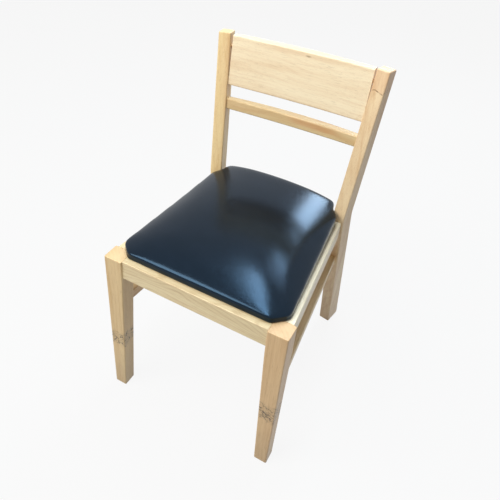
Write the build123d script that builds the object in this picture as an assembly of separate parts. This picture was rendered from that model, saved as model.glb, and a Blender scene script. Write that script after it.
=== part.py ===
from build123d import *
from math import atan, cos, degrees, radians, sin, tan
import os

# Wooden dining chair with an upholstered seat pad. Millimetres, +Z up, front of the chair towards -Y.
# The origin lies on the floor, on the chair's middle line, halfway between the front of the front legs
# and the back of the rear feet.

# Overall layout
FRONT_W = 428.0          # across the outer faces of the front legs
SEAT_H = 430.0           # top of the seat rails at the front
SEAT_SLOPE = 1.4         # fall of the seat towards the back, degrees
FRONT_Y = -267.7         # front face of the front legs
EASE = 3.0               # rounding of the long edges of legs, posts and back rails
EASE_SMALL = 1.5         # rounding of rail edges, leg tops and feet

# Front legs: outer and front faces upright, inner and back faces taper below the rails
LEG_W = 44.0
LEG_D = 42.0
LEG_FOOT_W = 31.0
LEG_FOOT_D = 34.5
LEG_STRAIGHT = 60.0      # untapered length at the top
LEG_KNEE_R = 500.0       # soft start of the taper

# Rear posts: one bent piece from foot to crest, turned in plan and leaning outwards
POST_X = 181.5           # outer front corner at the bend
POST_Y = 392.0           # the same corner, behind the front of the front legs
POST_W = 29.5
POST_TOP = 795.0
BEND_H = 436.0
BEND_R_FRONT = 90.0
BEND_R_BACK = 70.0
POST_LEAN = 41.0         # how far the top lies behind the bend
POST_KICK = 88.0         # how far the foot lies behind the bend
POST_D_TOP = 33.0
POST_D_BEND = 42.0
POST_D_FOOT = 51.0
POST_TURN = 10.0         # degrees, the front faces look slightly inwards
POST_SPLAY = 1.5         # degrees, the tops stand wider than the bend

# Seat rails
RAIL_H = 46.5
RAIL_T = 20.0
FRONT_RAIL_SET = 4.8     # front rail behind the front faces of the legs
SIDE_SET_FRONT = 6.5     # side rail inside the outer face of the front leg
SIDE_SET_REAR = 4.4      # side rail inside the outer corner of the post
REAR_RAIL_SET = 6.0      # rear rail behind the inner front corner of the post
RAIL_PASS = 6.0          # length a raw rail runs past a joint before it is trimmed

# Side stretchers
STRETCHER_TOP = 293.0
STRETCHER_H = 24.0
STRETCHER_T = 22.0
STRETCHER_SET = 4.9

# Crest rail and back slat, hollowed in front and bowed behind
BACK_SET = 3.5           # behind the inner front corners of the posts
BACK_T = 20.0            # thickness at the ends
HOLLOW = 5.5
BOW = 14.0
CREST_DROP = 3.7         # crest top below the tops of the posts
CREST_H = 117.5
SLAT_GAP = 34.0          # hand gap between crest and slat
SLAT_H = 26.0

# Corner blocks
BLOCK_H = 28.0
BLOCK_DROP = 4.0         # below the top of the rails
BLOCK_LEG = 62.0         # length glued along each rail
BLOCK_CLEAR = 2.0        # gap to legs and posts

# Seat pad: board, foam and cover
PAD_FRONT = 19.0         # front edge of the pad behind the front of the legs
PAD_PAST = 32.0          # rear edge of the pad behind the outer front corners of the posts
PAD_MARGIN = 10.0        # rail left showing at the sides
PAD_CLIP_FRONT = 30.0    # corner cut off over each front leg
PAD_CLIP_REAR = 42.0     # start of the cut beside each post, in front of the rear edge
PAD_WAIST = 16.0         # length of that cut along the chair
PAD_POST_GAP = 4.0       # between the pad's rear part and the inner corner of the post
PAD_CORNER = 16.0
PAD_H = 49.0             # height of the crown above the rails
PAD_CROWN_X = 16.0       # fall of the crown from the middle to each side, at the widest place
PAD_CREST = 0.67         # place of the crown's highest line, as a share of the pad's length
PAD_FALL = 19.0          # fall of the crown from that line to the front edge
PAD_ROLL = 10.0          # rounding of the upper edge
PAD_TUCK = 4.5           # rounding of the lower edge
COVER_T = 1.2
COVER_HEM = 24.0         # width of the cover turned under the board
SOFT_GAP = 0.3           # between the foam and the curved inside of the cover
BOARD_T = 9.0
BOARD_INSET = 6.0

# Dowels and screws
DOWEL_R = 4.0
DOWEL_IN = 13.0          # depth of a dowel in each of its two pieces
GLUE = 0.3               # radial glue gap round a dowel
DOWEL_Z = (-13.0, -34.0)
CREST_DOWEL_Z = (28.0, 90.0)
SCREW_R = 2.2
SCREW_HEAD_R = 4.6
SCREW_HEAD_H = 3.0
SCREW_BITE = 7.0         # depth of a screw in the board
SCREW_CLEAR = 0.3

# Derived places
SEAT = Pos(0, FRONT_Y, SEAT_H) * Rot(-SEAT_SLOPE, 0, 0)
LEAN_Y = POST_LEAN * cos(radians(POST_TURN))
BACK_LEAN = degrees(atan(LEAN_Y / (POST_TOP - BEND_H)))
BACK = Pos(0, FRONT_Y + POST_Y, BEND_H) * Rot(-BACK_LEAN, 0, 0)
BACK_LEN = (POST_TOP - BEND_H) / cos(radians(BACK_LEAN))
POST_INNER_X = POST_X - POST_W * cos(radians(POST_TURN))
POST_INNER_Y = POST_W * sin(radians(POST_TURN))
SIDE_OUT_FRONT = FRONT_W / 2 - SIDE_SET_FRONT
SIDE_OUT_REAR = POST_X - SIDE_SET_REAR
SIDE_FALL = (SIDE_OUT_FRONT - SIDE_OUT_REAR) / (POST_Y - LEG_D)
SIDE_ANGLE = degrees(atan(SIDE_FALL))
REAR_RAIL_Y = POST_Y + POST_INNER_Y + REAR_RAIL_SET
PAD_REAR = POST_Y + PAD_PAST
CREST_Z = BACK_LEN - CREST_DROP - CREST_H
SLAT_Z = CREST_Z - SLAT_GAP - SLAT_H


def side_out(y):
    """outer face of the right side rail at a distance behind the front of the legs"""
    return SIDE_OUT_FRONT - SIDE_FALL * (y - LEG_D)


def mirrored(shape):
    return mirror(shape, about=Plane.YZ)


def upright_edges(shape, rise):
    """edges that climb by more than the given rise"""
    return [e for e in shape.edges() if abs((e @ 0).Z - (e @ 1).Z) > rise]


def box_between(x0, x1, y0, y1, z0, z1):
    return Pos((x0 + x1) / 2, (y0 + y1) / 2, (z0 + z1) / 2) * Box(x1 - x0, y1 - y0, z1 - z0)


def front_leg():
    """right front leg: a front outline and a side outline crossed, then cut flush with the seat rails"""
    outer = FRONT_W / 2
    knee = SEAT_H - LEG_STRAIGHT
    front = Polygon(
        (outer, 0), (outer, SEAT_H), (outer - LEG_W, SEAT_H), (outer - LEG_W, knee), (outer - LEG_FOOT_W, 0),
        align=None,
    )
    side = Polygon((0, 0), (LEG_FOOT_D, 0), (LEG_D, knee), (LEG_D, SEAT_H), (0, SEAT_H), align=None)
    front = fillet([v for v in front.vertices() if abs(v.Y - knee) < EASE], LEG_KNEE_R)
    side = fillet([v for v in side.vertices() if abs(v.Y - knee) < EASE], LEG_KNEE_R)
    leg = extrude(Plane.XZ * front, LEG_D, dir=(0, 1, 0)) & extrude(Plane.YZ * side, outer, dir=(1, 0, 0))
    leg = Pos(0, FRONT_Y, 0) * leg
    leg -= SEAT * box_between(0, FRONT_W, -FRONT_W, FRONT_W, 0, FRONT_W)
    leg = fillet(upright_edges(leg, LEG_STRAIGHT / 2), EASE)
    leg = fillet(leg.faces().sort_by(Axis.Z)[-1].edges(), EASE_SMALL)
    return chamfer(leg.faces().sort_by(Axis.Z)[0].edges(), EASE_SMALL)


def rear_post():
    """right rear post: its bent side outline given a width, turned, splayed and cut level at the floor"""
    slant = atan(POST_LEAN / (POST_TOP - BEND_H))
    low = -EASE * 3
    front_low = POST_KICK * (1 - low / BEND_H)
    back_low = POST_D_BEND + (POST_KICK + POST_D_FOOT - POST_D_BEND) * (1 - low / BEND_H)
    outline = Polygon(
        (front_low, low), (0, BEND_H), (POST_LEAN, POST_TOP),
        (POST_LEAN + POST_D_TOP * cos(slant), POST_TOP - POST_D_TOP * sin(slant)),
        (POST_D_BEND, BEND_H), (back_low, low), align=None,
    )
    bends = [v for v in outline.vertices() if abs(v.Y - BEND_H) < EASE]
    bends.sort(key=lambda v: v.X)
    outline = fillet(bends[0], BEND_R_FRONT)
    inner = [v for v in outline.vertices() if abs(v.Y - BEND_H) < 0.01 and v.X > POST_D_BEND / 2]
    outline = fillet(inner, BEND_R_BACK)
    post = extrude(Plane.YZ * outline, POST_W, dir=(-1, 0, 0))
    top = post.faces().sort_by(Axis.Z)[-1]
    post = fillet(upright_edges(post, EASE) + list(top.edges()), EASE)
    post = Pos(0, 0, BEND_H) * Rot(0, POST_SPLAY, 0) * Pos(0, 0, -BEND_H) * post
    post = Pos(POST_X, FRONT_Y + POST_Y, 0) * Rot(0, 0, -POST_TURN) * post
    post -= Pos(0, 0, -FRONT_W / 2) * Box(FRONT_W * 2, FRONT_W * 4, FRONT_W)
    return chamfer(post.faces().sort_by(Axis.Z)[0].edges(), EASE_SMALL)


def eased_bar(length, thickness, height):
    """straight bar along X with rounded long edges, top face at z = 0"""
    bar = Pos(0, 0, -height / 2) * Box(length, thickness, height)
    return fillet(bar.edges().filter_by(Axis.X), EASE_SMALL)


def front_rail():
    y = FRONT_RAIL_SET + RAIL_T / 2
    return SEAT * Pos(0, y, 0) * eased_bar(FRONT_W - 2 * LEG_W, RAIL_T, RAIL_H)


def rear_rail(posts):
    y = REAR_RAIL_Y + RAIL_T / 2
    raw = SEAT * Pos(0, y, 0) * eased_bar(2 * (POST_INNER_X + RAIL_PASS), RAIL_T, RAIL_H)
    return trimmed(raw, posts)


def side_bar_place(y_mid, inset, thickness):
    """place for a bar along the right side, its outer face the given inset inside the rail line"""
    x_mid = side_out(y_mid) + SIDE_SET_FRONT - inset - thickness / 2 / cos(radians(SIDE_ANGLE))
    return Pos(x_mid, y_mid, 0) * Rot(0, 0, 90 + SIDE_ANGLE)


def trimmed(raw, neighbours):
    """the raw bar without the parts of it that run into its neighbours"""
    for piece in neighbours:
        raw = raw - piece
    return raw.solids().sort_by(SortBy.VOLUME)[-1]


def side_rail(post):
    """right side rail from the flat back of the front leg to the front of the post"""
    y_mid = (LEG_D + POST_Y) / 2
    length = POST_Y - LEG_D + 2 * RAIL_PASS
    raw = SEAT * side_bar_place(y_mid, SIDE_SET_FRONT, RAIL_T) * eased_bar(length, RAIL_T, RAIL_H)
    joint = FRONT_Y + LEG_D
    raw -= box_between(0, FRONT_W, joint - 2 * LEG_D, joint, 0, 2 * SEAT_H)
    return trimmed(raw, [post])


def stretcher(leg, post):
    z = STRETCHER_TOP
    y_front = LEG_FOOT_D + (LEG_D - LEG_FOOT_D) * z / (SEAT_H - LEG_STRAIGHT)
    y_back = POST_Y + POST_KICK * (1 - z / BEND_H)
    length = y_back - y_front + 2 * RAIL_PASS
    place = Pos(0, FRONT_Y, z) * side_bar_place((y_front + y_back) / 2, STRETCHER_SET, STRETCHER_T)
    return trimmed(place * eased_bar(length, STRETCHER_T, STRETCHER_H), [leg, post])


def back_bar(z, height, posts):
    """crest rail or slat: hollow front, bowed back, rounded edges, trimmed between the posts"""
    half = POST_INNER_X + RAIL_PASS * 2
    y0 = POST_INNER_Y + BACK_SET
    y1 = y0 + BACK_T
    front = ThreePointArc((-half, y0), (0, y0 + HOLLOW), (half, y0))
    back = ThreePointArc((half, y1), (0, y1 + BOW), (-half, y1))
    ends = Line((half, y0), (half, y1)) + Line((-half, y1), (-half, y0))
    bar = extrude(make_face(front + back + ends), height, dir=(0, 0, 1))
    long_edges = [e for e in bar.edges() if e.length > half]
    bar = fillet(long_edges, EASE)
    return trimmed(BACK * Pos(0, 0, z) * bar, posts)


def front_block():
    """right front corner block, notched round the leg"""
    rail_y = FRONT_RAIL_SET + RAIL_T
    leg_x = FRONT_W / 2 - LEG_W - BLOCK_CLEAR
    leg_y = LEG_D + BLOCK_CLEAR
    far_y = leg_y + BLOCK_LEG
    skin = RAIL_T / cos(radians(SIDE_ANGLE))
    outline = Polygon(
        (leg_x, rail_y), (leg_x, leg_y), (side_out(leg_y) - skin, leg_y), (side_out(far_y) - skin, far_y),
        (side_out(far_y) - skin - EASE * 2, far_y), (leg_x - BLOCK_LEG, rail_y + EASE * 2),
        (leg_x - BLOCK_LEG, rail_y), align=None,
    )
    return SEAT * Pos(0, 0, -BLOCK_DROP - BLOCK_H) * extrude(outline, BLOCK_H, dir=(0, 0, 1))


def rear_block():
    """right rear corner block, notched round the post"""
    post_x = POST_INNER_X - BLOCK_CLEAR * 2
    post_y = POST_Y - BLOCK_CLEAR
    far_y = post_y - BLOCK_LEG
    skin = RAIL_T / cos(radians(SIDE_ANGLE))
    outline = Polygon(
        (post_x, REAR_RAIL_Y), (post_x, post_y), (side_out(post_y) - skin, post_y),
        (side_out(far_y) - skin, far_y), (side_out(far_y) - skin - EASE * 2, far_y),
        (post_x - BLOCK_LEG, REAR_RAIL_Y - EASE * 2), (post_x - BLOCK_LEG, REAR_RAIL_Y), align=None,
    )
    return SEAT * Pos(0, 0, -BLOCK_DROP - BLOCK_H) * extrude(outline, BLOCK_H, dir=(0, 0, 1))


def pad_outline(inset):
    """plan of the pad: corners clipped over the front legs, narrowed to pass between the posts"""
    y1 = PAD_FRONT + PAD_CLIP_FRONT
    y2 = PAD_REAR - PAD_CLIP_REAR
    x1 = side_out(y1) - PAD_MARGIN
    x2 = side_out(y2) - PAD_MARGIN
    x3 = POST_INNER_X - PAD_POST_GAP
    right = [(x1 - PAD_CLIP_FRONT, PAD_FRONT), (x1, y1), (x2, y2), (x3, y2 + PAD_WAIST), (x3, PAD_REAR)]
    left = [(-x, y) for x, y in reversed(right)]
    plan = Polygon(*right, *left, align=None)
    plan = fillet(plan.vertices(), PAD_CORNER)
    if inset > 0:
        plan = offset(plan, -inset)
    return plan


def pad_crown(inset):
    """body under the crowned top of the pad: an arched section swung about a distant cross axis"""
    half_x = SIDE_OUT_FRONT
    reach = (PAD_REAR - PAD_FRONT) * PAD_CREST
    peak = PAD_H - inset
    swing_r = (reach ** 2 + PAD_FALL ** 2) / (2 * PAD_FALL)
    swing = degrees(atan(reach * 1.2 / swing_r))
    wide = side_out(PAD_FRONT + PAD_CLIP_FRONT) - PAD_MARGIN
    side = peak - PAD_CROWN_X * (half_x / wide) ** 2
    arch = ThreePointArc((-half_x, side), (0, peak), (half_x, side))
    foot = -PAD_H
    walls = Line((half_x, side), (half_x, foot)) + Line((-half_x, foot), (-half_x, side))
    base = Line((half_x, foot), (-half_x, foot))
    section = Plane.XZ * make_face(arch + walls + base)
    axis = Axis((0, 0, peak - swing_r), (1, 0, 0))
    body = revolve(section.rotate(axis, -swing), axis, 2 * swing)
    return Pos(0, PAD_FRONT + reach, 0) * body


def pad_body(inset):
    """soft outer form of the pad, drawn in by an inset on every side"""
    raw = extrude(pad_outline(inset), PAD_H * 2, dir=(0, 0, 1)) & pad_crown(inset)
    body = raw & box_between(-FRONT_W, FRONT_W, -FRONT_W, FRONT_W * 2, inset, PAD_H * 2)
    rim = [e for e in body.edges() if e.center().Z > PAD_TUCK * 2 and not is_corner_line(e)]
    body = fillet(rim, PAD_ROLL - inset)
    low = [e for e in body.edges() if e.bounding_box().max.Z < inset + 0.01]
    return fillet(low, PAD_TUCK - inset)


def is_corner_line(edge):
    """straight upright line between two side faces of the raw pad"""
    return abs((edge @ 0).Z - (edge @ 1).Z) > PAD_TUCK and edge.geom_type == GeomType.LINE


def seat_cover():
    """thin skin over the pad, turned under the board as a hem"""
    skin = pad_body(0) - pad_body(COVER_T)
    window = extrude(pad_outline(COVER_HEM), PAD_TUCK, dir=(0, 0, 1))
    return SEAT * (skin - window)


def seat_board():
    return SEAT * Pos(0, 0, COVER_T) * extrude(pad_outline(BOARD_INSET), BOARD_T, dir=(0, 0, 1))


def seat_foam():
    body = pad_body(COVER_T + SOFT_GAP)
    bench = COVER_T + BOARD_T
    return SEAT * (body - box_between(-FRONT_W, FRONT_W, -FRONT_W, FRONT_W * 2, -PAD_H, bench))


def dowel(place, radius, side=1):
    """dowel or its hole, along the local X of a place on the right, or on the left with side -1"""
    at = place.position
    along = Plane(place).x_dir
    seat = Plane(origin=(side * at.X, at.Y, at.Z), z_dir=(side * along.X, along.Y, along.Z))
    return seat * Cylinder(radius, 2 * DOWEL_IN)


def seat_dowel_places(x, y, turn):
    return [SEAT * Pos(x, y, z) * Rot(0, 0, turn) for z in DOWEL_Z]


def back_dowel_places(z, heights):
    """joints between the right post and the crest rail or slat"""
    y = POST_INNER_Y + BACK_SET + BACK_T / 2
    out = tan(radians(POST_SPLAY))
    run = POST_LEAN * sin(radians(POST_TURN)) / BACK_LEN
    x0 = POST_INNER_X + (y - POST_INNER_Y) * tan(radians(POST_TURN))
    return [BACK * Pos(x0 + (z + h) * (out + run), y, z + h) for h in heights]


def stretcher_dowel_places():
    """front and rear joints of the right stretcher"""
    z = STRETCHER_TOP - STRETCHER_H / 2
    y_front = LEG_FOOT_D + (LEG_D - LEG_FOOT_D) * z / (SEAT_H - LEG_STRAIGHT)
    y_back = POST_Y + POST_KICK * (1 - z / BEND_H)
    return [
        Pos(0, FRONT_Y, z) * side_bar_place(y, STRETCHER_SET, STRETCHER_T) for y in (y_front, y_back)
    ]


def both(places, radius):
    """solids at the places on the right and on the left"""
    return [dowel(p, radius, side) for side in (1, -1) for p in places]


def drilled(piece, holes):
    for hole in holes:
        piece = piece - hole
    return piece.solids().sort_by(SortBy.VOLUME)[-1]


def screw_places():
    """feet of the four seat screws, on the undersides of the corner blocks"""
    front_x = FRONT_W / 2 - LEG_W - BLOCK_CLEAR - DOWEL_IN
    front_y = LEG_D + BLOCK_CLEAR + SCREW_HEAD_R
    rear_x = POST_INNER_X - BLOCK_CLEAR * 2 - DOWEL_IN
    rear_y = POST_Y - BLOCK_CLEAR - SCREW_HEAD_R
    z = -BLOCK_DROP - BLOCK_H
    return [
        SEAT * Pos(x, y, z)
        for x, y in ((front_x, front_y), (rear_x, rear_y), (-front_x, front_y), (-rear_x, rear_y))
    ]


def seat_screw(place, clearance):
    """pan-head screw standing on its head, or the hole for its shank"""
    length = BLOCK_H + BLOCK_DROP + COVER_T + SCREW_BITE
    shank = Cylinder(SCREW_R + clearance, length, align=(Align.CENTER, Align.CENTER, Align.MIN))
    if clearance > 0:
        return place * shank
    head = Cylinder(SCREW_HEAD_R, SCREW_HEAD_H, align=(Align.CENTER, Align.CENTER, Align.MAX))
    head = chamfer(head.faces().sort_by(Axis.Z)[0].edges(), SCREW_HEAD_H / 3)
    return place * (head + shank)


# Main wooden pieces before drilling
leg_r = front_leg()
leg_l = mirrored(leg_r)
post_r = rear_post()
post_l = mirrored(post_r)
rail_f = front_rail()
rail_b = rear_rail([post_r, post_l])
rail_r = side_rail(post_r)
rail_l = mirrored(rail_r)
stretcher_r = stretcher(leg_r, post_r)
stretcher_l = mirrored(stretcher_r)
crest = back_bar(CREST_Z, CREST_H, [post_r, post_l])
slat = back_bar(SLAT_Z, SLAT_H, [post_r, post_l])
block_fr = front_block()
block_fl = mirrored(block_fr)
block_rr = rear_block()
block_rl = mirrored(block_rr)

# Places of the dowels on the right-hand half
side_turn = 90 + SIDE_ANGLE
side_mid = RAIL_T / 2 / cos(radians(SIDE_ANGLE))
front_rail_at = seat_dowel_places(FRONT_W / 2 - LEG_W, FRONT_RAIL_SET + RAIL_T / 2, 0)
rear_rail_at = seat_dowel_places(POST_INNER_X, REAR_RAIL_Y + RAIL_T / 2, 0)
side_rail_at = seat_dowel_places(side_out(LEG_D) - side_mid, LEG_D, side_turn)
side_rail_at += seat_dowel_places(side_out(POST_Y) - side_mid, POST_Y, side_turn)
crest_at = back_dowel_places(CREST_Z, CREST_DOWEL_Z)
slat_at = back_dowel_places(SLAT_Z, (SLAT_H / 2,))
stretcher_at = stretcher_dowel_places()

# Solids of the dowels, group by group
front_rail_dowels = both(front_rail_at, DOWEL_R)
rear_rail_dowels = both(rear_rail_at, DOWEL_R)
right_side_rail_dowels = [dowel(p, DOWEL_R) for p in side_rail_at]
left_side_rail_dowels = [dowel(p, DOWEL_R, -1) for p in side_rail_at]
crest_dowels = both(crest_at, DOWEL_R)
slat_dowels = both(slat_at, DOWEL_R)
stretcher_dowels = both(stretcher_at, DOWEL_R)
seat_screws = [seat_screw(p, 0) for p in screw_places()]

# Holes
hole_r = DOWEL_R + GLUE
front_rail_holes = both(front_rail_at, hole_r)
rear_rail_holes = both(rear_rail_at, hole_r)
side_rail_holes = both(side_rail_at, hole_r)
back_holes = both(crest_at + slat_at, hole_r)
stretcher_holes = both(stretcher_at, hole_r)
screw_holes = [seat_screw(p, SCREW_CLEAR) for p in screw_places()]
leg_holes = front_rail_holes + side_rail_holes + stretcher_holes
post_holes = rear_rail_holes + side_rail_holes + stretcher_holes + back_holes

nodes = {
    "front_left_leg": drilled(leg_l, leg_holes),
    "front_right_leg": drilled(leg_r, leg_holes),
    "rear_left_post": drilled(post_l, post_holes),
    "rear_right_post": drilled(post_r, post_holes),
    "front_rail": drilled(rail_f, front_rail_holes),
    "rear_rail": drilled(rail_b, rear_rail_holes),
    "left_side_rail": drilled(rail_l, side_rail_holes),
    "right_side_rail": drilled(rail_r, side_rail_holes),
    "left_stretcher": drilled(stretcher_l, stretcher_holes),
    "right_stretcher": drilled(stretcher_r, stretcher_holes),
    "crest_rail": drilled(crest, back_holes),
    "back_slat": drilled(slat, back_holes),
    "front_left_block": drilled(block_fl, screw_holes),
    "front_right_block": drilled(block_fr, screw_holes),
    "rear_left_block": drilled(block_rl, screw_holes),
    "rear_right_block": drilled(block_rr, screw_holes),
    "seat_board": drilled(seat_board(), screw_holes),
    "seat_foam": seat_foam(),
    "seat_cover": drilled(seat_cover(), screw_holes),
    "seat_screws": Compound(children=seat_screws),
    "front_rail_dowels": Compound(children=front_rail_dowels),
    "rear_rail_dowels": Compound(children=rear_rail_dowels),
    "left_side_rail_dowels": Compound(children=left_side_rail_dowels),
    "right_side_rail_dowels": Compound(children=right_side_rail_dowels),
    "crest_dowels": Compound(children=crest_dowels),
    "slat_dowels": Compound(children=slat_dowels),
    "stretcher_dowels": Compound(children=stretcher_dowels),
}

os.makedirs("parts", exist_ok=True)
for name, shape in nodes.items():
    export_step(shape, f"parts/{name}.step")
    box = shape.bounding_box()
    print(name, len(shape.solids()), round(shape.volume), [round(v, 1) for v in (*box.min, *box.max)])
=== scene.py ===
import bmesh
import bpy
from math import pi, radians
from mathutils import Euler, Matrix, Vector


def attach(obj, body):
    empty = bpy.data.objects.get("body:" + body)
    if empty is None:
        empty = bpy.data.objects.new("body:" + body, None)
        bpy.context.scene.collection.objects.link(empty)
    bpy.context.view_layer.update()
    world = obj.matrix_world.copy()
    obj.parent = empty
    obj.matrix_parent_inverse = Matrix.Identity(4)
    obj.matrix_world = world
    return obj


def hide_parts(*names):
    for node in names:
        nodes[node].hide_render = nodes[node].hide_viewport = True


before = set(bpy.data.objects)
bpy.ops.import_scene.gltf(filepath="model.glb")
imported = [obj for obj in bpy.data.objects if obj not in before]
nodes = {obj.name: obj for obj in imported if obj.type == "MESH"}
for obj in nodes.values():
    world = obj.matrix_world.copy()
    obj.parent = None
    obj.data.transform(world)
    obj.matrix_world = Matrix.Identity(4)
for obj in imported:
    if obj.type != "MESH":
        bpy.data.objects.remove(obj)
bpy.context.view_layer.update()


# Front legs: sawn from pale, straight-grained hardwood, tapered on the two inner faces and finished in satin
# lacquer. Their tops are cut flush with the seat rails and show end grain. Old knocks and cracks cross both
# legs below the middle, and the legs turn a little darker and browner towards the feet.
class Wire:
    """one output of a shader node, with the arithmetic that the finishes use"""

    def __init__(self, tree, socket):
        self.tree = tree
        self.socket = socket

    def node(self, kind, settings, inputs, output=0):
        """a new node of that kind in the same material, as the wire of one of its outputs"""
        made = self.tree.nodes.new(kind)
        for key, value in settings.items():
            setattr(made, key, value)
        for key, value in inputs.items():
            if isinstance(value, Wire):
                self.tree.links.new(value.socket, made.inputs[key])
            else:
                made.inputs[key].default_value = value
        return Wire(self.tree, made.outputs[output])

    def feed(self, target, name):
        """this wire on the named socket of a shader"""
        self.tree.links.new(self.socket, target.inputs[name])

    def math(self, operation, first, second=0.0, third=0.0):
        return self.node("ShaderNodeMath", {"operation": operation}, {0: first, 1: second, 2: third})

    def __add__(self, other):
        return self.math("ADD", self, other)

    def __sub__(self, other):
        return self.math("SUBTRACT", self, other)

    def __rsub__(self, other):
        return self.math("SUBTRACT", other, self)

    def __mul__(self, other):
        return self.math("MULTIPLY", self, other)

    __radd__ = __add__
    __rmul__ = __mul__

    def step(self, low, high):
        """0 below low, 1 above high, smooth between"""
        limits = {0: self, 1: low, 2: high, 3: 0.0, 4: 1.0}
        return self.node("ShaderNodeMapRange", {"interpolation_type": "SMOOTHSTEP"}, limits)

    def band(self, middle, half, soft):
        """1 within half of the middle, fading out over soft"""
        return 1.0 - self.math("ABSOLUTE", self - middle).step(half, half + soft)

    def blend(self, first, second):
        """first colour where this is 0, second where it is 1"""
        return self.node("ShaderNodeMix", {"data_type": "RGBA"}, {0: self, 6: first, 7: second}, 2)

    def stretched(self, scale):
        return self.node("ShaderNodeVectorMath", {"operation": "MULTIPLY"}, {0: self, 1: scale})

    def swung(self, angle):
        """a vector turned about the upright axis"""
        inputs = {"Vector": self, "Angle": angle}
        return self.node("ShaderNodeVectorRotate", {"rotation_type": "Z_AXIS"}, inputs)

    def length(self):
        return self.node("ShaderNodeVectorMath", {"operation": "LENGTH"}, {0: self}, 1)

    def noise(self, scale, detail=2.0, roughness=0.5):
        """soft noise over a vector that is stretched by the scale of each axis"""
        inputs = {"Vector": self.stretched(scale), "Scale": 1.0, "Detail": detail, "Roughness": roughness}
        return self.node("ShaderNodeTexNoise", {}, inputs)

    def cell_edges(self, scale):
        """distance from the borders of small irregular cells"""
        inputs = {"Vector": self, "Scale": scale}
        return self.node("ShaderNodeTexVoronoi", {"feature": "DISTANCE_TO_EDGE"}, inputs)

    def axis(self, index):
        return self.node("ShaderNodeSeparateXYZ", {}, {0: self}, index)


def tint(red, green, blue):
    """colour of a finish from display values of 0 to 255"""
    values = [v / 255 for v in (red, green, blue)]
    return tuple(v / 12.92 if v < 0.04045 else ((v + 0.055) / 1.055) ** 2.4 for v in values) + (1.0,)


def new_finish(name):
    """an empty material with its shader, and a wire of its Object coordinates"""
    material = bpy.data.materials.new(name)
    material.use_nodes = True
    tree = material.node_tree
    shader = tree.nodes["Principled BSDF"]
    place = Wire(tree, tree.nodes.new("ShaderNodeTexCoord").outputs["Object"])
    return material, shader, place


ALONG_X = (0.0, -pi / 2, 0.0)
ALONG_Y = (pi / 2, 0.0, 0.0)
ALONG_Z = (0.0, 0.0, 0.0)
YEAR_RING = 0.0085


def blonde_wood(name, along, pith, pale, deep, swing=0.0, figure=0.16, sway=0.03, blemish=None):
    """lacquered pale hardwood with its grain along one axis and the heart of the tree at the pith. The figure
    of the year rings is as strong as asked, and sways from side to side."""
    material, shader, place = new_finish(name)
    turned = place.swung(swing)
    grain = place.node("ShaderNodeMapping", {}, {"Vector": turned, "Rotation": along, "Location": pith})
    streaks = grain.noise((95.0, 95.0, 4.0), 4.0, 0.6)
    clouds = grain.noise((20.0, 20.0, 2.2), 2.0)
    fibres = grain.noise((620.0, 620.0, 14.0), 2.0)
    pores = grain.noise((1500.0, 1500.0, 46.0), 1.0).step(0.6, 0.72)
    wander = grain.noise((11.0, 11.0, 4.0), 1.5) * sway
    radius = grain.stretched((1.0, 1.0, 0.0)).length() + wander
    rings = place.math("SINE", radius * (2 * pi / YEAR_RING)) * 0.5 + 0.5
    late = rings.step(0.55, 1.0)
    depth = (streaks - 0.5) * 1.2 + (clouds - 0.5) * 1.4 + (fibres - 0.5) * 0.6 + late * figure + 0.4
    colour = depth.step(0.0, 1.0).blend(pale, deep)
    rosy = grain.noise((34.0, 34.0, 1.6), 1.0).step(0.5, 0.72) * 0.3
    colour = rosy.blend(colour, tint(222, 178, 136))
    colour = (pores * 0.3).blend(colour, tint(150, 110, 70))
    facing = place.node("ShaderNodeNewGeometry", {}, {}, "Normal").swung(swing)
    facing = place.node("ShaderNodeMapping", {"vector_type": "NORMAL"}, {"Vector": facing, "Rotation": along})
    end = place.math("ABSOLUTE", facing.axis(2)).step(0.8, 0.97)
    colour = (end * 0.35).blend(colour, tint(240, 208, 166))
    colour = (end * late * 0.06).blend(colour, tint(190, 146, 104))
    if blemish:
        colour = blemish(colour, place)
    colour.feed(shader, "Base Color")
    gloss = (streaks - 0.5) * 0.12 + pores * 0.1 + 0.42
    gloss.feed(shader, "Roughness")
    height = fibres * 0.5 - pores * 1.0 + late * 0.3
    bump = place.node("ShaderNodeBump", {}, {"Height": height, "Strength": 0.35, "Distance": 0.0004})
    bump.feed(shader, "Normal")
    shader.inputs["Coat Weight"].default_value = 0.12
    shader.inputs["Coat Roughness"].default_value = 0.3
    return material


def dress(material, *names):
    """the finish on CAD nodes whose shape stays"""
    for name in names:
        nodes[name].data.materials.clear()
        nodes[name].data.materials.append(material)


def knocked(colour, place, height, half, cracked, dented):
    """old knocks across a leg: a grey tone, some cracks and short dark dents, and a foot that is darker and
    browner
    """
    high = place.axis(2)
    ragged = place.noise((70.0, 70.0, 30.0), 2.0) * 0.03 + high
    zone = ragged.band(height + 0.015, half, 0.014)
    bent = place.noise((60.0, 60.0, 60.0), 2.0) * 0.9
    cells = place.stretched((62.0, 62.0, 48.0))
    cells = place.node("ShaderNodeVectorMath", {"operation": "ADD"}, {0: cells, 1: bent})
    gaps = place.noise((80.0, 80.0, 80.0), 1.0).step(0.4, 0.52)
    cracks = (1.0 - cells.cell_edges(1.0).step(0.015, 0.06)) * gaps
    dents = place.noise((170.0, 170.0, 520.0), 2.0, 0.6).step(0.56, 0.63)
    colour = (zone * 0.22).blend(colour, tint(150, 128, 96))
    colour = (zone * cracks * cracked).blend(colour, tint(46, 36, 28))
    colour = (zone * dents * dented).blend(colour, tint(58, 46, 34))
    foot = 1.0 - (high + place.noise((45.0, 45.0, 25.0), 2.0) * 0.08).step(0.03, 0.19)
    return (foot * 0.32).blend(colour, tint(146, 122, 84))


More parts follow.
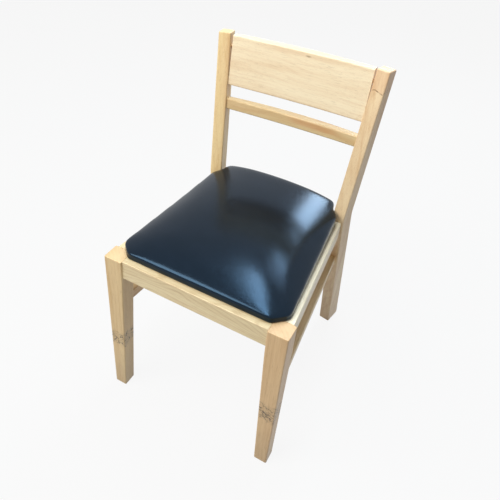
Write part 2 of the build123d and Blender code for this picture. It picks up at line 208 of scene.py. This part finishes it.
left_leg_wood = blonde_wood(
    "left_leg_wood", ALONG_Z, (0.26, 0.32, 0.0), tint(228, 200, 150), tint(208, 172, 118), figure=0.08,
    blemish=lambda colour, place: knocked(colour, place, height=0.178, half=0.014, cracked=0.95, dented=0.5),
)
right_leg_wood = blonde_wood(
    "right_leg_wood", ALONG_Z, (-0.12, 0.31, 0.37), tint(224, 190, 142), tint(200, 160, 112), figure=0.08,
    blemish=lambda colour, place: knocked(colour, place, height=0.186, half=0.018, cracked=0.6, dented=1.0),
)
dress(left_leg_wood, "front_left_leg")
dress(right_leg_wood, "front_right_leg")


# Front seat rail: a straight bar of the same hardwood, doweled between the front legs and set back a little
# from their faces. It is flat sawn, so that broad pointed figure runs along its front.
front_rail_wood = blonde_wood(
    "front_rail_wood", ALONG_X, (0.33, 0.235, 0.13), tint(234, 216, 174), tint(208, 184, 140),
    figure=0.3, sway=0.13,
)
dress(front_rail_wood, "front_rail")


# Side seat rails: straight hardwood bars that converge to the back, doweled into the front legs and the
# posts. The right one is painted paler than its wood, as painted light for the bright light on its top.
SIDE_TURN = radians(4.96)
# painted light: both tones of the right rail are lightened to stand in for the strong light on its top face
right_rail_wood_painted_light = blonde_wood(
    "right_rail_wood_painted_light", ALONG_Y, (-0.16, 0.43, 0.2), tint(252, 242, 214), tint(240, 222, 186), swing=-SIDE_TURN
)
left_rail_wood = blonde_wood(
    "left_rail_wood", ALONG_Y, (0.22, 0.45, 0.5), tint(242, 222, 180), tint(224, 196, 150), swing=SIDE_TURN
)
dress(right_rail_wood_painted_light, "right_side_rail")
dress(left_rail_wood, "left_side_rail")


# Rear posts: each sawn from hardwood in one sweep from foot to crest and turned a little in plan. The blank
# of the right post is finger-jointed near its top, where the wood above the glue line is rosier.
JOINT_HEIGHT = 0.729
JOINT_TILT = 0.13
FINGER = 0.0045
FINGER_STEEP = 2.2


def finger_joint(colour, place):
    """glue line that runs across the front face and zigzags over the sides"""
    fingers = place.math("PINGPONG", place.axis(1), FINGER) * FINGER_STEEP
    across = place.axis(2) - place.axis(0) * JOINT_TILT + fingers
    above = across.step(JOINT_HEIGHT - 0.0005, JOINT_HEIGHT + 0.0005)
    colour = (above * 0.28).blend(colour, tint(226, 176, 134))
    gaps = place.noise((160.0, 160.0, 40.0), 2.0).step(0.35, 0.6) * 0.6 + 0.3
    return (across.band(JOINT_HEIGHT, 0.0005, 0.0008) * gaps).blend(colour, tint(126, 84, 48))


right_post_wood = blonde_wood(
    "right_post_wood", ALONG_Z, (-0.1, -0.06, 0.9), tint(244, 218, 176), tint(222, 184, 138),
    blemish=finger_joint,
)
left_post_wood = blonde_wood(
    "left_post_wood", ALONG_Z, (0.26, -0.05, 0.2), tint(244, 216, 162), tint(222, 184, 126)
)
dress(right_post_wood, "rear_right_post")
dress(left_post_wood, "rear_left_post")


# Rear seat rail: a plain hardwood bar, doweled between the posts. It closes the seat frame behind the pad and
# shows only from the back and from below.
rear_rail_wood = blonde_wood(
    "rear_rail_wood", ALONG_X, (0.35, -0.18, 0.4), tint(230, 204, 156), tint(208, 174, 126)
)
dress(rear_rail_wood, "rear_rail")


# Side stretchers: slim square hardwood bars that tie each front leg to its post below the seat. A dowel holds
# each end.
right_stretcher_wood = blonde_wood(
    "right_stretcher_wood", ALONG_Y, (-0.13, 0.22, 0.7), tint(236, 212, 166), tint(214, 184, 134),
    swing=-SIDE_TURN,
)
left_stretcher_wood = blonde_wood(
    "left_stretcher_wood", ALONG_Y, (0.13, 0.21, 0.1), tint(232, 206, 158), tint(210, 176, 126),
    swing=SIDE_TURN,
)
dress(right_stretcher_wood, "right_stretcher")
dress(left_stretcher_wood, "left_stretcher")


# Crest rail: the wide top of the back, sawn hollow in front from pale hardwood and doweled between the posts.
# One small knot shows close to its upper edge.
KNOT_PLACE = (-1.99, -10.7, -257.7)
KNOT_SCALE = (110.0, 60.0, 330.0)


def small_knot(colour, place):
    """a brown spot with a ragged border"""
    spot = place.node("ShaderNodeMapping", {}, {"Vector": place, "Location": KNOT_PLACE, "Scale": KNOT_SCALE})
    near = 1.0 - (spot.length() + place.noise((300.0, 300.0, 300.0)) * 0.5).step(0.5, 1.2)
    return (near * 0.55).blend(colour, tint(120, 92, 52))


crest_wood = blonde_wood(
    "crest_wood", ALONG_X, (0.84, -0.1, 0.2), tint(249, 231, 196), tint(236, 210, 172),
    sway=0.06, blemish=small_knot,
)
dress(crest_wood, "crest_rail")


# Back slat: the narrow bar below the hand gap, bowed like the crest and doweled between the posts. It is cut
# from a warmer board, with a brown streak right of its middle.
STREAK_MIDDLE = 0.06
STREAK_HEIGHT = 0.6375


def brown_streak(colour, place):
    """a soft brown streak along the upper edge"""
    run = place.axis(0).band(STREAK_MIDDLE, 0.03, 0.05)
    height = place.axis(2) + place.noise((14.0, 14.0, 14.0), 2.0) * 0.012
    return (run * height.band(STREAK_HEIGHT, 0.003, 0.006) * 0.5).blend(colour, tint(196, 134, 82))


slat_wood = blonde_wood(
    "slat_wood", ALONG_X, (0.66, -0.09, 0.5), tint(224, 200, 152), tint(206, 174, 124), blemish=brown_streak
)
dress(slat_wood, "back_slat")


# Dowels: turned beech pins, glued out of sight into both sides of every joint of the frame. All the joints
# use the same pin.
dowel_wood = blonde_wood("dowel_wood", ALONG_X, (0.0, 0.0, 0.0), tint(226, 192, 148), tint(200, 160, 112))
dress(
    dowel_wood, "front_rail_dowels", "rear_rail_dowels", "left_side_rail_dowels", "right_side_rail_dowels",
    "crest_dowels", "slat_dowels", "stretcher_dowels",
)


# Corner blocks: bare offcuts of a redder wood, glued into the corners of the seat frame and drilled for the
# seat screws.
block_wood = blonde_wood("block_wood", ALONG_X, (0.4, 0.1, 0.3), tint(178, 126, 88), tint(142, 92, 62))
dress(block_wood, "front_left_block", "front_right_block", "rear_left_block", "rear_right_block")


# Seat board: bare plywood that carries the foam, cut a little smaller than the pad. From below it shows
# inside the hem of the cover.
board_wood = blonde_wood("board_wood", ALONG_Y, (0.1, 0.5, 0.2), tint(214, 176, 128), tint(186, 142, 94))
dress(board_wood, "seat_board")


# Seat pad: foam on the board under tightly drawn black vinyl, clipped over the front legs and narrowed to
# pass between the posts. The cover pulls its front and sides down, and is turned under the board as a hem.
FRONT_Y = -0.2677
RAIL_TOP = 0.430
SEAT_SLOPE = radians(1.4)

# Half of its outline, from the front edge to the back, in the plane of the seat
PAD_HALF = [(0.1669, 0.019), (0.1969, 0.049), (0.1680, 0.382), (0.1485, 0.398), (0.1485, 0.424)]
PAD_CORNER = 0.007
REAR_CORNER = 0.01
REAR_FROM = 0.42

# The crown, its highest line, and how far it falls to the front and to the sides
PAD_BASE = 0.0006
PAD_CROWN = 0.055
CREST_Y = 0.36
TO_FRONT = 0.341
TO_SIDE = 0.197
FALL_TO_FRONT = 0.025
FALL_TO_SIDE = 0.020
CORNER_LIFT = 0.018
LOWEST_TOP = 0.017

# Where the cover draws the crown down, along the front and the sides, and less towards the back
DRAWN_HALF = [(0.1669, 0.019), (0.1969, 0.049), (0.1485, 0.606)]
DRAWN_IN = 0.1
DRAWN_DOWN = 0.0135
SLACKER_FROM = 0.25
SLACKER_OVER = 0.15
SLACKER_BY = 0.4

# Size of the mesh, and the heights that part the sole, the walls, the rolled edge and the lid
VOXEL = 0.005
SOLE = 0.003
WALL_FOOT = 0.004
ROLL_FOOT = 0.006
LID_FOOT = 0.012

# How the vinyl swells, and at most how far
PRESSURE = 1.0
STRETCH = 25.0
BENDING = 20.0
TICKS = 20
BULGE = 0.006

# The hem below
HEM = 0.024
HEM_DEPTH = 0.0025

pad_plan = PAD_HALF + [(-x, y) for x, y in reversed(PAD_HALF)]
drawn_plan = DRAWN_HALF + [(-x, y) for x, y in reversed(DRAWN_HALF)]
seat_place = Matrix.Translation((0.0, FRONT_Y, RAIL_TOP)) @ Matrix.Rotation(-SEAT_SLOPE, 4, "X")


def to_edge(x, y, plan):
    """distance of a place on the pad from an outline"""
    spot = Vector((x, y))
    nearest = 1.0
    for index, corner in enumerate(plan):
        first, last = Vector(plan[index - 1]), Vector(corner)
        share = min(max((spot - first).dot(last - first) / (last - first).length_squared, 0.0), 1.0)
        nearest = min(nearest, (spot - first.lerp(last, share)).length)
    return nearest


def pad_top(x, y):
    """height of the pad: a crown with its highest line near the back, drawn down at the front and sides"""
    drawn = max(1.0 - to_edge(x, y, drawn_plan) / DRAWN_IN, 0.0) ** 2
    drawn *= 1.0 - SLACKER_BY * min(max((y - SLACKER_FROM) / SLACKER_OVER, 0.0), 1.0)
    across, along = (x / TO_SIDE) ** 2, ((y - CREST_Y) / TO_FRONT) ** 2
    crown = PAD_CROWN - FALL_TO_SIDE * across - FALL_TO_FRONT * along + CORNER_LIFT * across * along
    return max(crown - DRAWN_DOWN * drawn, LOWEST_TOP)


def opened(mesh):
    form = bmesh.new()
    form.from_mesh(mesh)
    return form


def settled(form, mesh):
    form.to_mesh(mesh)
    form.free()


def eased(form, verts, turns, sideways):
    """verts drawn towards their neighbours, up and down and if asked sideways too"""
    for turn in range(turns):
        bmesh.ops.smooth_vert(
            form, verts=verts, factor=0.5, use_axis_x=sideways, use_axis_y=sideways, use_axis_z=True
        )


def raised(form, faces, height):
    """faces drawn out upwards"""
    made = bmesh.ops.extrude_face_region(form, geom=faces)["geom"]
    top = [g for g in made if isinstance(g, bmesh.types.BMVert)]
    bmesh.ops.translate(form, verts=top, vec=(0.0, 0.0, height))


def sole_of(form):
    """the flat faces on which the pad rests"""
    return [f for f in form.faces if f.normal.z < -0.9 and max(v.co.z for v in f.verts) < SOLE]


pad_form = bmesh.new()
pad_form.faces.new([pad_form.verts.new((x, y, PAD_BASE)) for x, y in pad_plan])
rear = [v for v in pad_form.verts if v.co.y > REAR_FROM]
others = [v for v in pad_form.verts if v.co.y < REAR_FROM]
for corners, cut_back in ((rear, REAR_CORNER), (others, PAD_CORNER)):
    bmesh.ops.bevel(
        pad_form, geom=corners, offset=cut_back, offset_type="OFFSET", affect="VERTICES", segments=4,
        profile=0.5, material=-1,
    )
raised(pad_form, pad_form.faces[:], PAD_CROWN - PAD_BASE)
bmesh.ops.recalc_face_normals(pad_form, faces=pad_form.faces[:])
pad_mesh = bpy.data.meshes.new("seat_pad")
settled(pad_form, pad_mesh)
pad = bpy.data.objects.new("seat_pad", pad_mesh)
bpy.context.scene.collection.objects.link(pad)
bpy.context.view_layer.objects.active = pad
pad_mesh.remesh_voxel_size = VOXEL
bpy.ops.object.voxel_remesh()
pad_mesh = pad.data

pad_form = opened(pad_mesh)
above = [v for v in pad_form.verts if v.co.z > WALL_FOOT]
for v in above:
    top = pad_top(v.co.x, v.co.y)
    v.co.z = PAD_BASE + (v.co.z - PAD_BASE) * (top - PAD_BASE) / (PAD_CROWN - PAD_BASE)
eased(pad_form, above, turns=5, sideways=True)
settled(pad_form, pad_mesh)

start = [v.co.copy() for v in pad_mesh.vertices]
held = pad.vertex_groups.new(name="held")
held.add([v.index for v in pad_mesh.vertices if v.co.z < SOLE], 1.0, "REPLACE")
cloth = pad.modifiers.new("vinyl", "CLOTH")
cloth.settings.vertex_group_mass = "held"
cloth.settings.use_pressure = True
cloth.settings.uniform_pressure_force = PRESSURE
cloth.settings.tension_stiffness = STRETCH
cloth.settings.compression_stiffness = STRETCH
cloth.settings.bending_stiffness = BENDING
cloth.settings.effector_weights.gravity = 0.0
for tick in range(1, TICKS + 1):
    bpy.context.scene.frame_set(tick)
ready = pad.evaluated_get(bpy.context.evaluated_depsgraph_get())
swollen = [v.co.copy() for v in ready.data.vertices]
pad.modifiers.remove(cloth)
pad.vertex_groups.remove(held)
bpy.context.scene.frame_set(1)
for vertex, before, after in zip(pad_mesh.vertices, start, swollen):
    move = after - before
    if move.length > BULGE:
        move *= BULGE / move.length
    vertex.co = before + move
pad_form = opened(pad_mesh)
lid = [v for v in pad_form.verts if v.co.z > LID_FOOT]
eased(pad_form, lid, turns=14, sideways=False)
roll = [v for v in pad_form.verts if v.co.z > ROLL_FOOT]
eased(pad_form, roll, turns=9, sideways=True)
settled(pad_form, pad_mesh)

pad_form = opened(pad_mesh)
for index, corner in enumerate(pad_plan):
    first, last = Vector(pad_plan[index - 1]), Vector(corner)
    inward = Vector((first.y - last.y, last.x - first.x)).normalized()
    sole = sole_of(pad_form)
    cut = sole + list({e for f in sole for e in f.edges}) + list({v for f in sole for v in f.verts})
    bmesh.ops.bisect_plane(
        pad_form, geom=cut, dist=1e-5, plane_co=(*(first + inward * HEM), 0.0), plane_no=(*inward, 0.0)
    )
window = [f for f in sole_of(pad_form) if to_edge(*f.calc_center_median().xy, pad_plan) > HEM]
raised(pad_form, window, HEM_DEPTH)
bmesh.ops.delete(pad_form, geom=window, context="FACES")
bmesh.ops.recalc_face_normals(pad_form, faces=pad_form.faces[:])
settled(pad_form, pad_mesh)
finer = pad.modifiers.new("finer", "SUBSURF")
finer.levels = 1
finer.render_levels = 1

pad_mesh.transform(seat_place)
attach(pad, "root")
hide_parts("seat_foam", "seat_cover")


def black_vinyl():
    """dark blue-black vinyl with a fine pressed leather grain"""
    material, shader, place = new_finish("black_vinyl")
    cells = place.cell_edges(400.0)
    pits = place.noise((700.0, 700.0, 700.0), 2.0)
    wear = place.noise((24.0, 24.0, 24.0), 3.0)
    colour = (wear.step(0.35, 0.75) * 0.6).blend(tint(8, 11, 18), tint(13, 17, 26))
    colour.feed(shader, "Base Color")
    gloss = (wear - 0.5) * 0.05 + (pits - 0.5) * 0.22 + 0.16
    gloss.feed(shader, "Roughness")
    height = cells.step(0.0, 0.18) + pits * 0.4
    bump = place.node("ShaderNodeBump", {}, {"Height": height, "Strength": 0.1, "Distance": 0.0003})
    bump.feed(shader, "Normal")
    shader.inputs["Specular IOR Level"].default_value = 0.42
    shader.inputs["Specular Tint"].default_value = (0.34, 0.64, 1.0, 1.0)
    return material


pad_mesh.materials.clear()
pad_mesh.materials.append(black_vinyl())
for polygon in pad_mesh.polygons:
    polygon.use_smooth = True


# Seat screws: zinc-plated steel, driven up through the drilled corner blocks into the board. They hold the
# pad down on the frame.
def zinc_plate():
    """dull bright zinc with a cloudy gloss"""
    material, shader, place = new_finish("zinc_plate")
    cloud = place.noise((900.0, 900.0, 900.0), 3.0)
    cloud.blend(tint(206, 204, 196), tint(176, 176, 172)).feed(shader, "Base Color")
    (cloud * 0.3 + 0.2).feed(shader, "Roughness")
    shader.inputs["Metallic"].default_value = 1.0
    return material


dress(zinc_plate(), "seat_screws")


# Studio: a plain pale floor that keeps the chair's soft shadow, under a white surround. A large soft box
# lights the front, a long one hangs overhead, and a small cool one behind draws the gloss of the pad.
FLOOR_HALF = 9.0
FLOOR_GREY = 0.45
FLOOR_GLOW = 0.9
FILL_LIGHT = 0.25
WHITE = (1.0, 1.0, 1.0, 1.0)


def looked_at(tree):
    """1 for rays from the camera or by way of a gloss or a glass, 0 for the light that falls on things"""
    ray = tree.nodes.new("ShaderNodeLightPath")
    seen = Wire(tree, ray.outputs["Is Camera Ray"])
    for kind in ("Is Glossy Ray", "Is Transmission Ray"):
        seen = seen.math("MAXIMUM", seen, Wire(tree, ray.outputs[kind]))
    return seen


def soft_box(name, place, aim, width, height, power, colour):
    """a rectangular lamp that points at its aim"""
    lamp = bpy.data.lights.new(name, "AREA")
    lamp.shape = "RECTANGLE"
    lamp.size = width
    lamp.size_y = height
    lamp.energy = power
    lamp.color = colour
    holder = bpy.data.objects.new(name, lamp)
    holder.location = place
    holder.rotation_euler = (Vector(aim) - Vector(place)).to_track_quat("-Z", "Y").to_euler()
    bpy.context.scene.collection.objects.link(holder)


floor_form = bmesh.new()
bmesh.ops.create_grid(floor_form, x_segments=1, y_segments=1, size=FLOOR_HALF)
floor_mesh = bpy.data.meshes.new("floor")
settled(floor_form, floor_mesh)
floor = bpy.data.objects.new("floor", floor_mesh)
bpy.context.scene.collection.objects.link(floor)
floor_paint = bpy.data.materials.new("floor_paint")
floor_paint.use_nodes = True
paint_tree = floor_paint.node_tree
paint = paint_tree.nodes["Principled BSDF"]
paint.inputs["Base Color"].default_value = (FLOOR_GREY, FLOOR_GREY, FLOOR_GREY, 1.0)
paint.inputs["Roughness"].default_value = 0.9
seen = looked_at(paint_tree)
matt = Wire(paint_tree, paint.outputs[0])
glow = seen.node("ShaderNodeEmission", {}, {"Color": WHITE, "Strength": 1.0})
lit = seen.node("ShaderNodeMixShader", {}, {0: seen * FLOOR_GLOW, 1: matt, 2: glow})
lit.feed(paint_tree.nodes["Material Output"], "Surface")
floor_mesh.materials.append(floor_paint)

world = bpy.data.worlds.new("surround")
bpy.context.scene.world = world
world.use_nodes = True
surround = world.node_tree.nodes["Background"]
surround.inputs["Color"].default_value = WHITE
strength = looked_at(world.node_tree) * (1.0 - FILL_LIGHT) + FILL_LIGHT
strength.feed(surround, "Strength")

soft_box("key", (-1.1, -1.6, 2.4), (0.0, 0.1, 0.6), 1.5, 1.5, 58.0, (1.0, 0.97, 0.92))
soft_box("top", (-0.08, -0.14, 2.2), (0.04, -0.12, 0.4), 1.9, 0.24, 21.0, (0.82, 0.92, 1.0))
soft_box("window", (0.14, 1.8, 1.9), (0.1, 0.0, 0.46), 0.45, 1.2, 24.0, (0.76, 0.89, 1.0))

camera_lens = bpy.data.cameras.new("camera")
camera_lens.sensor_width = 36.0
camera_lens.lens = 39.637
camera_lens.shift_x = 0.076
camera_lens.shift_y = -0.104
camera = bpy.data.objects.new("camera", camera_lens)
camera.location = (0.39221, -0.91933, 1.23145)
camera.rotation_euler = Euler((radians(53.5759), radians(-2.3289), radians(30.1272)))
bpy.context.scene.collection.objects.link(camera)
bpy.context.scene.camera = camera
bpy.context.scene.view_settings.view_transform = "Standard"
